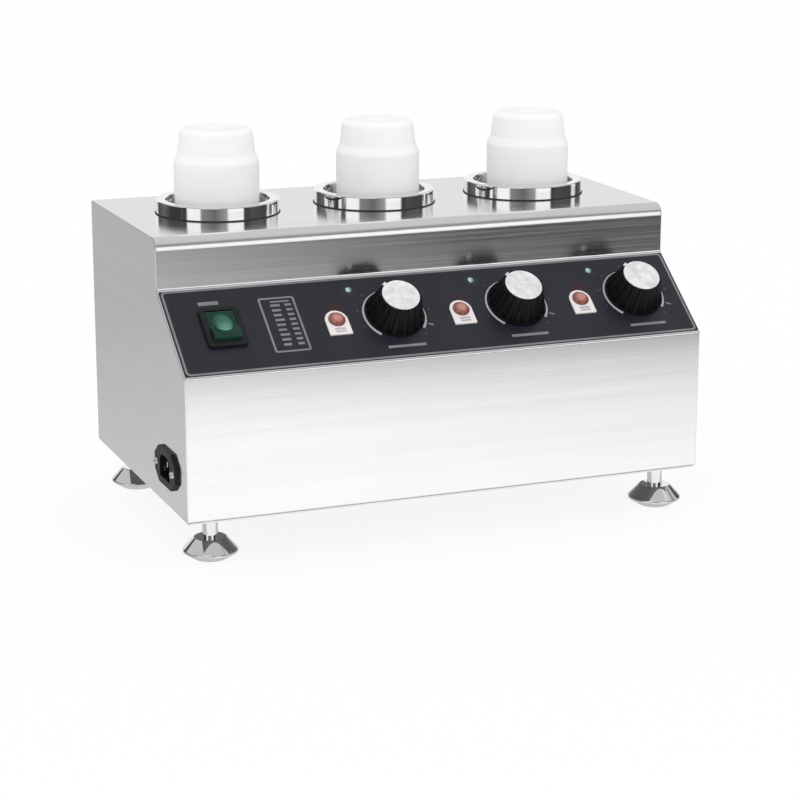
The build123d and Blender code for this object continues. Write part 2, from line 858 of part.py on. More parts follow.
# Rocker: a wide V on top with a round lens in its middle, and ends rounded about the
# pivot so that they clear. It rests tipped to its upper end.
tilt = radians(rocker_tilt)
rocker_plane = Plane(
    origin=switch.offset(pivot_lift).origin,
    x_dir=switch.y_dir * cos(tilt) - switch.z_dir * sin(tilt),
    z_dir=switch.x_dir,
)
rocker_reach = rocker_length / 2
dome_profile = Plane(
    origin=rocker_plane.origin, x_dir=rocker_plane.z_dir, z_dir=-rocker_plane.x_dir
)
dome_foot = rocker_middle + dome_radius * sin(tilt)
with BuildPart() as rocker:
    with BuildSketch(rocker_plane.offset(-rocker_width / 2)) as rocker_side:
        Circle(rocker_reach)
        with BuildLine():
            Polyline(
                (-rocker_reach, -rocker_depth / 3),
                (-rocker_reach / 2, -rocker_depth),
                (rocker_reach / 2, -rocker_depth),
                (rocker_reach, -rocker_depth / 3),
                (2 * rocker_reach, rocker_middle + 2 * rocker_reach * sin(tilt)),
                (0, rocker_middle),
                (-2 * rocker_reach, rocker_middle + 2 * rocker_reach * sin(tilt)),
                close=True,
            )
        make_face(mode=Mode.INTERSECT)
        fillet(rocker_side.vertices().sort_by(Axis.Y)[-2:], 0.8)
    extrude(amount=rocker_width)
    with BuildSketch(rocker_plane):
        Circle(rocker_pin_radius)
    extrude(amount=rocker_width / 2 + rocker_pin_length, both=True)
    with BuildSketch(dome_profile):
        with BuildLine():
            Line((0, 0), (dome_radius, 0))
            Line((dome_radius, 0), (dome_radius, dome_foot))
            crown(dome_radius, dome_foot, dome_foot + dome_height)
            Line((0, dome_foot + dome_height), (0, 0))
        make_face()
    revolve(axis=up_axis(dome_profile))
rocker.part.label = "rocker"
export_step(rocker.part, "parts/rocker.step")

# --------------------------------------------------------------------- lamps and LEDs
for number, place in enumerate(lamp_places, 1):
    face = on_panel(place, panel_face)
    with BuildPart() as lamp_plate:
        with BuildSketch(face):
            Circle(lamp_plate_width / 2)
            with Locations((0, -lamp_plate_drop / 2)):
                Rectangle(lamp_plate_width, lamp_plate_drop)
        extrude(amount=lamp_plate_thickness)
        with BuildSketch(face):
            Circle(lamp_barrel_radius)
        extrude(amount=-panel_face - sheet - lamp_barrel_length)
        with BuildSketch(face.offset(lamp_plate_thickness)):
            Circle(lens_stem_radius + fit_gap)
        extrude(amount=-lamp_plate_thickness - lens_stem_length, mode=Mode.SUBTRACT)
        with BuildSketch(face.offset(-panel_face - sheet - lamp_barrel_length)):
            with Locations((-lamp_tab_spread, 0), (lamp_tab_spread, 0)):
                Rectangle(blade_thickness, blade_width / 2)
        extrude(amount=-blade_length)
    lamp_plate.part.label = f"lamp_plate_{number}"
    export_step(lamp_plate.part, f"parts/lamp_plate_{number}.step")

    seat = through(face.offset(lamp_plate_thickness))
    with BuildPart() as lens:
        with BuildSketch(seat):
            with BuildLine():
                Line((0, 0), (lens_radius, 0))
                Line((lens_radius, 0), (lens_radius, lens_edge))
                crown(lens_radius, lens_edge, lens_height)
                Line((0, lens_height), (0, 0))
            make_face()
            with Locations((lens_stem_radius / 2, -lens_stem_length / 2)):
                Rectangle(lens_stem_radius, lens_stem_length)
        revolve(axis=up_axis(seat))
    lens.part.label = f"lamp_lens_{number}"
    export_step(lens.part, f"parts/lamp_lens_{number}.step")

for number, place in enumerate(led_places, 1):
    back = on_panel(place, panel_back)
    led_top = sheet + panel_face + led_height
    profile = through(back)
    with BuildPart() as led:
        with BuildSketch(profile):
            with BuildLine():
                Line((0, -led_body_length), (led_flange_radius, -led_body_length))
                Line((led_flange_radius, -led_body_length), (led_flange_radius, 0))
                Line((led_flange_radius, 0), (led_radius, 0))
                Line((led_radius, 0), (led_radius, led_top - led_height))
                crown(led_radius, led_top - led_height, led_top)
                Line((0, led_top), (0, -led_body_length))
            make_face()
        revolve(axis=up_axis(profile))
        with BuildSketch(back.offset(-led_body_length)):
            with Locations((-led_leg_pitch / 2, 0), (led_leg_pitch / 2, 0)):
                Rectangle(led_leg_side, led_leg_side)
        extrude(amount=-led_leg_length)
    led.part.label = f"power_led_{number}"
    export_step(led.part, f"parts/power_led_{number}.step")

# ------------------------------------------------------------------- thermostats and knobs
thermostat_tab_places = [
    (-thermostat_tab_spread, -thermostat_tab_drop),
    (thermostat_tab_spread, -thermostat_tab_drop),
]
thermostat_back = panel_back - bracket_thickness - thermostat_depth

for number, place in enumerate(knob_places, 1):
    base = on_panel(place)
    screw_spots = [(-thermostat_screw_pitch / 2, 0), (thermostat_screw_pitch / 2, 0)]

    with BuildPart() as thermostat:
        with BuildSketch(base.offset(panel_back)):
            RectangleRounded(bracket_width, bracket_length, bracket_corner)
            with Locations(*screw_spots):
                Circle(m4_shank, mode=Mode.SUBTRACT)
        extrude(amount=-bracket_thickness)
        with BuildSketch(base.offset(panel_back - bracket_thickness)):
            RectangleRounded(thermostat_width, thermostat_width, thermostat_corner)
        extrude(amount=-thermostat_depth)
        with BuildSketch(base.offset(panel_back - bracket_thickness)):
            Circle(bushing_radius)
        extrude(amount=bracket_thickness + sheet + overlay_thickness / 2)
        with BuildSketch(base.offset(-shaft_depth - free_gap)):
            Circle(shaft_radius + run_gap)
        extrude(amount=2 * shaft_depth, mode=Mode.SUBTRACT)
        with BuildSketch(base.offset(panel_back - bracket_thickness)):
            with Locations(*screw_spots):
                Circle(m4_shank)
        extrude(amount=-panel_screw_length, mode=Mode.SUBTRACT)
        with BuildSketch(base.offset(thermostat_back)):
            with Locations(*thermostat_tab_places):
                Rectangle(blade_width, blade_thickness)
        extrude(amount=-blade_length)
    thermostat.part.label = f"thermostat_{number}"
    export_step(thermostat.part, f"parts/thermostat_{number}.step")

    # Shaft, with a flat that drives the knob.
    flat_start = shaft_reach - shaft_flat_length
    with BuildPart() as shaft:
        with BuildSketch(base.offset(-shaft_depth)):
            Circle(shaft_radius)
        extrude(amount=shaft_depth + shaft_reach)
        with BuildSketch(base.offset(shaft_reach)):
            with Locations((0, shaft_flat + shaft_radius)):
                Rectangle(3 * shaft_radius, 2 * shaft_radius)
        extrude(amount=-shaft_flat_length, mode=Mode.SUBTRACT)
    shaft.part.label = f"thermostat_shaft_{number}"
    export_step(shaft.part, f"parts/thermostat_shaft_{number}.step")

    # Knob: a hollow fluted grip on a wide skirt, with a hub for the shaft.
    foot_plane = base.offset(panel_face + knob_lift)
    knob_profile = through(foot_plane)
    hub_bore_depth = knob_height - knob_roof
    with BuildPart() as knob:
        with BuildSketch(knob_profile) as knob_half:
            with BuildLine():
                Polyline(
                    (0, 0),
                    (skirt_radius, 0),
                    (skirt_radius, skirt_height - skirt_bevel),
                    (skirt_radius - skirt_rim, skirt_height),
                    (grip_foot_radius, skirt_height),
                    (grip_top_radius, knob_height),
                    (0, knob_height),
                    close=True,
                )
            make_face()
            round_corner(knob_half, (grip_top_radius, knob_height), grip_edge_round)
        revolve(axis=up_axis(knob_profile))
        with BuildSketch(*flute_planes(foot_plane.offset(skirt_height))):
            Circle(flute_radius)
        extrude(amount=knob_height, mode=Mode.SUBTRACT)
        with BuildSketch(foot_plane):
            Circle(skirt_radius - skirt_land)
            Circle(knob_hub_radius, mode=Mode.SUBTRACT)
        extrude(amount=skirt_recess, mode=Mode.SUBTRACT)
        with BuildSketch(foot_plane):
            Circle(knob_hollow_radius)
            Circle(knob_hub_radius, mode=Mode.SUBTRACT)
        extrude(amount=hub_bore_depth, mode=Mode.SUBTRACT)
        with BuildSketch(foot_plane):
            Circle(knob_hub_radius)
        extrude(amount=flat_start - panel_face - knob_lift + fit_gap, mode=Mode.SUBTRACT)
        with BuildSketch(foot_plane):
            Circle(shaft_radius + fit_gap)
            with Locations((0, shaft_flat + fit_gap + shaft_radius)):
                Rectangle(3 * shaft_radius, 2 * shaft_radius, mode=Mode.SUBTRACT)
        extrude(amount=hub_bore_depth, mode=Mode.SUBTRACT)
        with BuildSketch(foot_plane.offset(knob_height)):
            Circle(cap_disc_radius + fit_gap)
            with PolarLocations(pointer_reach / 2, 1, start_angle=pointer_angle):
                Rectangle(pointer_reach + 2, pointer_width + 2 * fit_gap)
        extrude(amount=-cap_disc_recess, mode=Mode.SUBTRACT)
    knob.part.label = f"knob_{number}"
    export_step(knob.part, f"parts/knob_{number}.step")

    # Bright cap disc with its pointer.
    with BuildPart() as knob_cap:
        with BuildSketch(foot_plane.offset(knob_height - cap_disc_recess)):
            Circle(cap_disc_radius)
            with PolarLocations(pointer_reach / 2, 1, start_angle=pointer_angle):
                Rectangle(pointer_reach, pointer_width)
        extrude(amount=cap_disc_thickness)
        with BuildSketch(foot_plane.offset(knob_height - cap_disc_recess + cap_disc_thickness)):
            with PolarLocations(
                (pointer_root + pointer_reach) / 2, 1, start_angle=pointer_angle
            ):
                Rectangle(pointer_reach - pointer_root + 1, pointer_width / 3)
        extrude(amount=-cap_disc_thickness / 4, mode=Mode.SUBTRACT)
    knob_cap.part.label = f"knob_cap_{number}"
    export_step(knob_cap.part, f"parts/knob_cap_{number}.step")

# Sensing bulbs in the heaters' gaps, each with its capillary down to its thermostat.
capillary_lane_z = cup_bottom + capillary_lane_rise
ear_front = well_y - heater_outer - heater_ear_reach
for number, (well_x, place) in enumerate(zip(well_xs, knob_places), 1):
    bulb_bottom = heater_middle - bulb_length / 2
    exit_place = (place[0], place[1] + capillary_exit_rise)
    leave = on_panel(exit_place, thermostat_back).origin
    clear = on_panel(exit_place, thermostat_back - capillary_exit_run).origin
    with BuildPart() as capillary:
        with BuildSketch(Plane.XY.offset(bulb_bottom)):
            with Locations((well_x, bulb_y)):
                Circle(bulb_radius)
        extrude(amount=bulb_length)
        with BuildLine() as run:
            FilletPolyline(
                leave,
                clear,
                (place[0], ear_front - capillary_lane_gaps[0], capillary_lane_z),
                (well_x, ear_front - capillary_lane_gaps[1], capillary_lane_z),
                (well_x, bulb_y, capillary_lane_z),
                (well_x, bulb_y, bulb_bottom),
                radius=capillary_bend,
            )
        with BuildSketch(Plane(origin=run.line @ 0, z_dir=run.line % 0)):
            Circle(capillary_radius)
        sweep(path=run.line)
    capillary.part.label = f"sensing_bulb_{number}"
    export_step(capillary.part, f"parts/sensing_bulb_{number}.step")

# ----------------------------------------------------------------------------- mains inlet
pin_rows = [(-pin_pitch / 2, -pin_row_offset), (pin_pitch / 2, -pin_row_offset)]
pin_rows += [(0, pin_row_offset)]
socket_floor = inlet_flange_thickness - socket_depth
with BuildPart() as inlet_housing:
    with BuildSketch(inlet):
        add(inlet_flange_outline.sketch_local)
        with Locations(*inlet_screw_places):
            Circle(m3_shank + hole_clearance, mode=Mode.SUBTRACT)
    extrude(amount=inlet_flange_thickness)
    with BuildSketch(inlet):
        RectangleRounded(inlet_body_length, inlet_body_height, inlet_body_corner)
    extrude(amount=-inlet_body_depth)
    with BuildSketch(inlet.offset(inlet_flange_thickness)) as socket:
        Rectangle(socket_length, socket_height)
        chamfer(socket.vertices().group_by(Axis.Y)[-1], socket_corner)
    extrude(amount=-socket_depth, mode=Mode.SUBTRACT)
    with BuildSketch(inlet):
        with Locations(*pin_rows):
            Rectangle(pin_width, pin_height)
    extrude(amount=-inlet_body_depth, mode=Mode.SUBTRACT)
inlet_housing.part.label = "inlet_housing"
export_step(inlet_housing.part, "parts/inlet_housing.step")

with BuildPart() as inlet_pins:
    with BuildSketch(inlet.offset(socket_floor + pin_length)):
        with Locations(*pin_rows):
            Rectangle(pin_width, pin_height)
    extrude(amount=-pin_length - socket_floor - inlet_body_depth - tab_length)
inlet_pins.part.label = "inlet_pins"
export_step(inlet_pins.part, "parts/inlet_pins.step")

# ---------------------------------------------------------------- terminal block and earth
block_half = block_width / 2
with BuildPart() as terminal_block:
    with BuildSketch(Plane.XY.offset(case_bottom)):
        with Locations(block_place):
            Rectangle(block_length + 2 * block_lug, block_half)
    extrude(amount=block_lug_height)
    with BuildSketch(Plane.XY.offset(case_bottom)):
        with Locations(block_place):
            Rectangle(block_length, block_width)
    extrude(amount=block_height)
    chamfer(terminal_block.edges().filter_by(Axis.X).group_by(Axis.Z)[-1], block_bevel)
    with BuildSketch(Plane.XY.offset(case_bottom + block_height)):
        with Locations(
            *[
                (x, block_place[1] + side * block_screw_spread)
                for x in block_way_xs
                for side in (-1, 1)
            ]
        ):
            Circle(block_screw_radius)
    extrude(amount=-block_height / 4, mode=Mode.SUBTRACT)
    with BuildSketch(Plane.XZ.offset(-block_place[1] - block_half)):
        with Locations(*[(x, case_bottom + block_entry_rise) for x in block_way_xs]):
            Circle(block_entry_radius)
    extrude(amount=block_entry_depth, mode=Mode.SUBTRACT)
    with BuildSketch(Plane.XZ.offset(-block_place[1] + block_half)):
        with Locations(*[(x, case_bottom + block_entry_rise) for x in block_way_xs]):
            Circle(block_entry_radius)
    extrude(amount=-block_entry_depth, mode=Mode.SUBTRACT)
    with BuildSketch(Plane.XY.offset(case_bottom)):
        with Locations(*block_screw_places):
            Circle(m3_shank + hole_clearance)
    extrude(amount=block_lug_height, mode=Mode.SUBTRACT)
terminal_block.part.label = "terminal_block"
export_step(terminal_block.part, "parts/terminal_block.step")

with BuildPart() as earth_stud:
    with BuildSketch(Plane.XY.offset(case_bottom - sheet)):
        with Locations(earth_place):
            Circle(m4_shank)
    extrude(amount=sheet + earth_stud_height)
    with BuildSketch(Plane.XY.offset(case_bottom)):
        with Locations(earth_place):
            RegularPolygon(earth_nut_flats / 2, 6, major_radius=False)
    extrude(amount=earth_nut_height)
    with BuildSketch(Plane.XY.offset(case_bottom - sheet)):
        with Locations(earth_place):
            Circle(m4_head[0])
    extrude(amount=-m4_head[1])
earth_stud.part.label = "earth_stud"
export_step(earth_stud.part, "parts/earth_stud.step")

# ----------------------------------------------------------------------------- fasteners
base_fixings = pan_screws(
    turned_over(case_bottom - sheet),
    from_below(base_screw_places),
    base_head,
    m4_shank,
    base_screw_length,
)
thermostat_fixings = pan_screws(
    panel.offset(panel_face),
    [(x + turn * thermostat_screw_pitch / 2, s) for x, s in knob_places for turn in (-1, 1)],
    m4_head,
    m4_shank,
    panel_screw_length,
)
with BuildPart() as m4_screws:
    add(base_fixings.part)
    add(thermostat_fixings.part)
m4_screws.part.label = "m4_screws"
export_step(m4_screws.part, "parts/m4_screws.step")

collar_fixings = pan_screws(
    turned_over(case_top - sheet),
    from_below(
        [
            (
                x + collar_screw_circle * cos(radians(angle)),
                well_y + collar_screw_circle * sin(radians(angle)),
            )
            for x in well_xs
            for angle in collar_screw_angles
        ]
    ),
    m3_head,
    m3_shank,
    collar_screw_length,
)
inlet_fixings = pan_screws(
    inlet.offset(inlet_flange_thickness),
    inlet_screw_places,
    m3_head,
    m3_shank,
    inlet_flange_thickness + panel_screw_length,
)
block_fixings = pan_screws(
    Plane.XY.offset(case_bottom + block_lug_height),
    block_screw_places,
    m3_head,
    m3_shank,
    block_lug_height + 2 * sheet,
)
with BuildPart() as m3_screws:
    add(collar_fixings.part)
    add(inlet_fixings.part)
    add(block_fixings.part)
m3_screws.part.label = "m3_screws"
export_step(m3_screws.part, "parts/m3_screws.step")

# -------------------------------------------------------------------------------- wiring
entry_z = case_bottom + block_entry_rise
entry_front = block_place[1] - block_half + block_entry_depth
entry_back = block_place[1] + block_half - block_entry_depth
tab_lift = thermostat_back - blade_length
switch_tab_lift = panel_face + switch_back - blade_length


def tab_end(place, offset, lift, beyond=0.0):
    """The end of a blade under the panel, or a point straight beyond it."""
    spot = (place[0] + offset[0], place[1] + offset[1])
    return on_panel(spot, lift - beyond).origin


def inlet_tab(pin):
    """The inner end of one of the inlet's tabs."""
    return inlet.from_local_coords((*pin, -inlet_body_depth - tab_length))


heater_routes = []
for number, (place, x) in enumerate(zip(knob_places, well_xs)):
    # Feed: terminal block to the thermostat's left blade.
    low = tab_end(place, thermostat_tab_places[0], tab_lift, lead_run_out)
    lane = feed_lane_z - lead_lane_pitch * number
    way = block_way_xs[number]
    heater_routes.append([
        tab_end(place, thermostat_tab_places[0], tab_lift),
        low,
        (low.X, low.Y, lane),
        (way, low.Y, lane),
        (way, low.Y, entry_z),
        (way, entry_front, entry_z),
    ])
    # Switched feed: the thermostat's right blade to the heater's left post.
    post_reach = heater_outer + terminal_post_length
    outward = Vector(0, -1, 0).rotate(Axis.Z, -terminal_post_angle)
    post = Vector(x, well_y, heater_bottom + heater_height / 4) + outward * post_reach
    aside = post + outward * lead_post_run
    run_out = switched_run_out + switched_run_step * number
    low = tab_end(place, thermostat_tab_places[1], tab_lift, run_out)
    heater_routes.append([
        tab_end(place, thermostat_tab_places[1], tab_lift),
        low,
        (aside.X, low.Y, low.Z),
        aside,
        post,
    ])
    # Return: the heater's right post to the terminal block.
    outward = Vector(0, -1, 0).rotate(Axis.Z, terminal_post_angle)
    post = Vector(x, well_y, heater_bottom + heater_height / 4) + outward * post_reach
    aside = post + outward * lead_post_run
    lane = return_lane_z - lead_lane_pitch * number
    way = block_way_xs[number + len(well_xs)]
    across = [(aside.X, aside.Y, lane), (way, aside.Y, lane)] if number else []
    heater_routes.append([
        post,
        aside,
        *across,
        (way, aside.Y, entry_z),
        (way, entry_front, entry_z),
    ])
heater_leads = leads(heater_routes, lead_radius, lead_bend)
heater_leads.part.label = "heater_leads"
export_step(heater_leads.part, "parts/heater_leads.step")

live_pin, neutral_pin, earth_pin = (inlet_tab(pin) for pin in pin_rows)
live_in, live_out, neutral_in, neutral_out = (
    [tab_end(switch_place, offset, switch_tab_lift, beyond) for beyond in (0, lead_run_out)]
    for offset in (tab_places[2], tab_places[3], tab_places[0], tab_places[1])
)
earth_top = case_bottom + earth_stud_height
neutral_x = live_in[1].X
back_lane = block_place[1] + block_half + back_lane_gap
outer_lane = back_lane + lead_run_out
mains_routes = [
    [live_pin, (neutral_x, live_pin.Y, live_pin.Z), live_in[1], live_in[0]],
    [
        neutral_pin,
        (neutral_x, neutral_pin.Y, neutral_pin.Z),
        (neutral_x, neutral_pin.Y, neutral_pin.Z + neutral_rise),
        (neutral_in[1].X, neutral_in[1].Y, neutral_pin.Z + 2 * neutral_rise),
        neutral_in[1],
        neutral_in[0],
    ],
    [
        earth_pin,
        (earth_place[0], earth_pin.Y, earth_pin.Z),
        (earth_place[0], earth_place[1], earth_pin.Z),
        (*earth_place, earth_top),
    ],
    [
        live_out[0],
        live_out[1],
        (live_out[1].X, live_out[1].Y, entry_z),
        (live_out[1].X, back_lane, entry_z),
        (block_way_xs[0], back_lane, entry_z),
        (block_way_xs[0], entry_back, entry_z),
    ],
    [
        neutral_out[0],
        neutral_out[1],
        (neutral_out[1].X, neutral_out[1].Y, entry_z),
        (neutral_out[1].X, outer_lane, entry_z),
        (block_way_xs[3], outer_lane, entry_z),
        (block_way_xs[3], entry_back, entry_z),
    ],
]
mains_leads = leads(mains_routes, lead_radius, lead_bend)
mains_leads.part.label = "mains_leads"
export_step(mains_leads.part, "parts/mains_leads.step")
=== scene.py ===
import bpy
import bmesh
import json
from math import cos, hypot, pi, radians, sin
from mathutils import Matrix, Vector


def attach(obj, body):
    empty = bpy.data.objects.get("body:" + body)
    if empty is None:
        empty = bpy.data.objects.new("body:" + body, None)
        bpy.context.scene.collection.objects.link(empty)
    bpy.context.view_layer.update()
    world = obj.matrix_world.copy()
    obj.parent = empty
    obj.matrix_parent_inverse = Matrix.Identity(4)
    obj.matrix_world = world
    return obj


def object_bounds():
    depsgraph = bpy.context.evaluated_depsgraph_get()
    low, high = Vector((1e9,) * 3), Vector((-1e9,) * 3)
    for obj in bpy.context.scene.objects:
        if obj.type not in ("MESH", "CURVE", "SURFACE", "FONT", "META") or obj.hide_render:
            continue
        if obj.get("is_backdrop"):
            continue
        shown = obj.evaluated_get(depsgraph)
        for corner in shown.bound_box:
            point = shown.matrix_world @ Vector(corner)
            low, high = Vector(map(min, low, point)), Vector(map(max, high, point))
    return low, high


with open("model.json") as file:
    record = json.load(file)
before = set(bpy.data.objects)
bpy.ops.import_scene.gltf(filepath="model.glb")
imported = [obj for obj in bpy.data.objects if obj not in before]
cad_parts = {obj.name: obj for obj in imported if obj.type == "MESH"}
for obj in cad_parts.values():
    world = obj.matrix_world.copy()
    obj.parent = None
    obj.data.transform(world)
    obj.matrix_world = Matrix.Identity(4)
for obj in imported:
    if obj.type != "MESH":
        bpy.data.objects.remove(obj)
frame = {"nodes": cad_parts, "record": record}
cad_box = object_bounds()
nodes = frame["nodes"]
scene = bpy.context.scene
MM = 0.001

# ------------------------------------------------------------------ places on the part
# The sloping control panel: x across, s up the slope, lift out of its face, all in mm.
FRONT_Y, SLOPE_FOOT_Z = -120.0, 137.0
SLOPE_RUN, SLOPE_RISE = 65.0, 49.0
SLOPE = hypot(SLOPE_RUN, SLOPE_RISE)
UP_Y, UP_Z = SLOPE_RUN / SLOPE, SLOPE_RISE / SLOPE
UP_SLOPE = Vector((0, UP_Y, UP_Z))
OVERLAY_TOP = 0.5  # lifts out of the slope
LAMP_PLATE_TOP = 1.7
ROCKER_LENS_LIFT = 3.6
PITCH = 96.3  # from one knob to the next
KNOBS = [(-32.1 + PITCH * n, 41.8) for n in range(3)]
LAMPS = [(-77.3 + PITCH * n, 40.0) for n in range(3)]
LENS_RADIUS = 6.2
LED_FROM_LAMP = 17.6  # to the right of its lamp
LED_S = 67.8
SWITCH = (-161.5, 42.0)
WELLS = [(-125.0, 36.0), (0.0, 36.0), (125.0, 36.0)]
TOP_Z, COLLAR_RADIUS = 223.0, 46.0

# Print on the panel, with a painted halo of light round each LED and a dark crimson patch
# above each lamp. Boxes are (x0, x1, s0, s1), and arcs are (start, end, inner radius at
# each end, outer radius at each end, steps). A dial's print is placed from the middle of its
# knob, and a lamp's from the middle of its lamp.
INK = 0.06
PANEL_FRAME, PANEL_LINE, PANEL_CORNER = (-197.9, 197.9, 1.9, 79.3), 1.6, 3.4
DIAL_ARC_LEFT = (106, 229, (22.5, 22.6), (23.3, 24.6), 48)
DIAL_ARC_RIGHT = (12, -40, (22.7, 22.5), (23.3, 24.3), 24)
DIAL_TICK = (-25.6, -28.4, (25.2, 25.2), (29.4, 29.4), 2)
DIAL_DOTS, DOT_REACH, DOT_RADIUS = (-49, 4, 34, 64, 94, 134, 168, 200), 27.4, 0.8
CAPTION_LEFT, CAPTION_RIGHT, CAPTION_S = -14.0, 15.0, (10.6, 12.9)
# Painted halo of light on the panel round each LED: its radius, and how far it sits below the LED's
# middle.
LED_HALO_RADIUS, LED_HALO_DROP = 5.4, 0.6
LAMP_PATCH, LAMP_PATCH_CORNER = (-3.4, 8.6, 7.2, 16.4), 3.6
LAMP_MARK, LAMP_MARK_STEP = (-3.5, 4.5, -11.6, -10.0), 2.4
TABLE_FRAME, TABLE_LINE, TABLE_CORNER = (-129.6, -102.6, 15.6, 66.4), 1.5, 2.0
TABLE_ROWS, TABLE_FOOT, TABLE_STEP, TABLE_BAR = 9, 21.4, 4.55, 2.1
TABLE_LEFT, TABLE_RIGHT, TABLE_RAGGED = (-121.6, -115.6), (-111.0, -106.2), 0.5
TABLE_HEAD = (-121.0, -107.0, 61.6, 63.0)
SWITCH_MARK = (-173.6, -158.6, 63.9, 67.2)

# Painted shade in the seam round the foot of each collar, a thin dark ring: (out of the collar's
# wall, up from the top)
SEAM_SHADE = ((0.0, 0.0), (0.8, 0.0), (0.6, 0.6), (0.0, 0.9))
SEAM_SHADE_STEPS = 96

# Stage, in metres
FLOOR_RADIUS, FLOOR_DROP = 6.0, 0.0003
SHEET_RADIUS = 0.5  # polished metal sees the studio past it

# Camera, fitted to the case's edges in the photograph: millimetres for the sensor, pixels
# for the image and focal length, metres and degrees for its place and turn
IMAGE_WIDTH, SENSOR_WIDTH, FOCAL_PIXELS = 800, 36.0, 2342
CAMERA_PLACE = (-0.6434, -1.6153, 0.5279)
CAMERA_YAW, CAMERA_DOWN, CAMERA_ROLL = -21.94, 14.62, 0.10


def on_panel(x, s, lift=0.0):
    return Vector((x, FRONT_Y + s * UP_Y - lift * UP_Z, SLOPE_FOOT_Z + s * UP_Z + lift * UP_Y)) * MM


# ------------------------------------------------------------------------- node helpers
class Graph:
    """Short names for the nodes that the materials, the floor and the world use."""

    def __init__(self, owner, clear=False):
        owner.use_nodes = True
        self.tree = owner.node_tree
        if clear:
            self.tree.nodes.clear()

    def link(self, a, b):
        self.tree.links.new(a, b)

    def node(self, kind, inputs=None, **settings):
        made = self.tree.nodes.new("ShaderNode" + kind)
        for key, value in settings.items():
            setattr(made, key, value)
        for key, value in (inputs or {}).items():
            if isinstance(value, bpy.types.NodeSocket):
                self.link(value, made.inputs[key])
            else:
                made.inputs[key].default_value = value
        return made

    def math(self, operation, a, b=0.0, c=0.0):
        return self.node("Math", {0: a, 1: b, 2: c}, operation=operation).outputs[0]

    def span(self, value, low, high, source=(0.3, 0.7)):
        made = self.node("MapRange", {
            "Value": value, "From Min": source[0], "From Max": source[1],
            "To Min": low, "To Max": high,
        })
        return made.outputs["Result"]

    def ramp(self, value, stops):
        made = self.node("ValToRGB", {"Fac": value})
        elements = made.color_ramp.elements
        while len(elements) < len(stops):
            elements.new(0.5)
        for element, (place, colour) in zip(elements, stops):
            element.position = place
            element.color = (*colour, 1) if hasattr(colour, "__len__") else (colour,) * 3 + (1,)
        return made.outputs["Color"]

    def mix(self, factor, a, b, blend="MIX"):
        # The Mix node has its colours at inputs 6 and 7 and at output 2.
        inputs = {"Factor": factor, 6: a, 7: b}
        return self.node("Mix", inputs, data_type="RGBA", blend_type=blend).outputs[2]

    def axes(self, vector):
        made = self.node("SeparateXYZ", {0: vector})
        return made.outputs["X"], made.outputs["Y"], made.outputs["Z"]

    def length(self, a, b):
        squares = self.math("MULTIPLY_ADD", a, a, self.math("MULTIPLY", b, b))
        return self.math("SQRT", squares)


# ---------------------------------------------------------------------------- materials
GRAIN_DEPTH = 0.00003  # metres


class Shader(Graph):
    """A Principled material in the object's own coordinates."""

    def __init__(self, name, **values):
        self.material = bpy.data.materials.new(name)
        super().__init__(self.material)
        self.bsdf = self.tree.nodes["Principled BSDF"]
        for key, value in values.items():
            self.bsdf.inputs[key.replace("_", " ")].default_value = value

    def place(self):
        return self.node("TexCoord").outputs["Object"]

    def noise(self, scale, detail, roughness=0.5, stretch=(1, 1, 1)):
        mapped = self.node("Mapping", {"Vector": self.place(), "Scale": stretch}).outputs["Vector"]
        made = self.node("TexNoise", {
            "Vector": mapped, "Scale": scale, "Detail": detail, "Roughness": roughness,
        })
        return made.outputs["Fac"]

    def bump(self, height, strength):
        made = self.node("Bump", {"Height": height, "Strength": strength, "Distance": GRAIN_DEPTH})
        self.link(made.outputs["Normal"], self.bsdf.inputs["Normal"])

    def colour(self, value):
        self.link(value, self.bsdf.inputs["Base Color"])

    def rough(self, value):
        self.link(value, self.bsdf.inputs["Roughness"])

    def from_nearest(self, x, first_x):
        """Distance across from the nearest of three pieces, the first of them at first_x."""
        half = PITCH / 2 * MM
        return self.math("WRAP", self.math("SUBTRACT", x, first_x * MM), half, -half)

    def up_slope(self, offset):
        made = self.node("VectorMath", {0: offset, 1: UP_SLOPE}, operation="DOT_PRODUCT")
        return made.outputs["Value"]


def scaled(tint, share):
    return [min(c * share, 1) for c in tint]


def brushed(name, tint, rough=(0.11, 0.17), along="x"):
    """Sheet steel with a fine grain along one direction, so it blurs across the grain."""
    fine = {"x": (5, 900, 900), "y": (900, 5, 900)}[along]
    broad = {"x": (1.2, 110, 110), "y": (110, 1.2, 110)}[along]
    m = Shader(name, Metallic=1.0, Anisotropic=0.7)
    grain = m.noise(1.0, 3.0, 0.6, fine)
    drift = m.noise(1.0, 3.0, 0.55, broad)
    m.colour(m.ramp(drift, [(0.3, scaled(tint, 0.975)), (0.7, scaled(tint, 1.025))]))
    m.rough(m.span(grain, *rough))
    m.bump(grain, 0.05)
    lean = m.node("Tangent", direction_type="RADIAL", axis=along.upper())
    m.link(lean.outputs["Tangent"], m.bsdf.inputs["Tangent"])
    return m.material


def mirror(name, tint):
    """Polished plate without any haze, clouded only in its colour."""
    m = Shader(name, Metallic=1.0, Roughness=0.0)
    wear = m.noise(70.0, 5.0, 0.6)
    m.colour(m.ramp(wear, [(0.3, scaled(tint, 0.95)), (0.7, tint)]))
    return m.material


def plated(name, tint, rough):
    """Small metal parts with a cloudy plating."""
    m = Shader(name, Metallic=1.0)
    wear = m.noise(60.0, 5.0, 0.6)
    m.colour(m.ramp(wear, [(0.3, scaled(tint, 0.97)), (0.7, tint)]))
    m.rough(m.span(wear, *rough))
    m.bump(m.noise(400.0, 2.0), 0.02)
    return m.material


def plastic(name, low, high, rough, grain=900.0, strength=0.08, cloud=35.0, **values):
    """Mould grain over a colour that drifts from low to high."""
    m = Shader(name, **values)
    wear = m.noise(cloud, 4.0, 0.55)
    m.colour(m.ramp(wear, [(0.3, low), (0.7, high)]))
    m.rough(m.span(wear, *rough))
    m.bump(m.noise(grain, 2.0), strength)
    return m.material


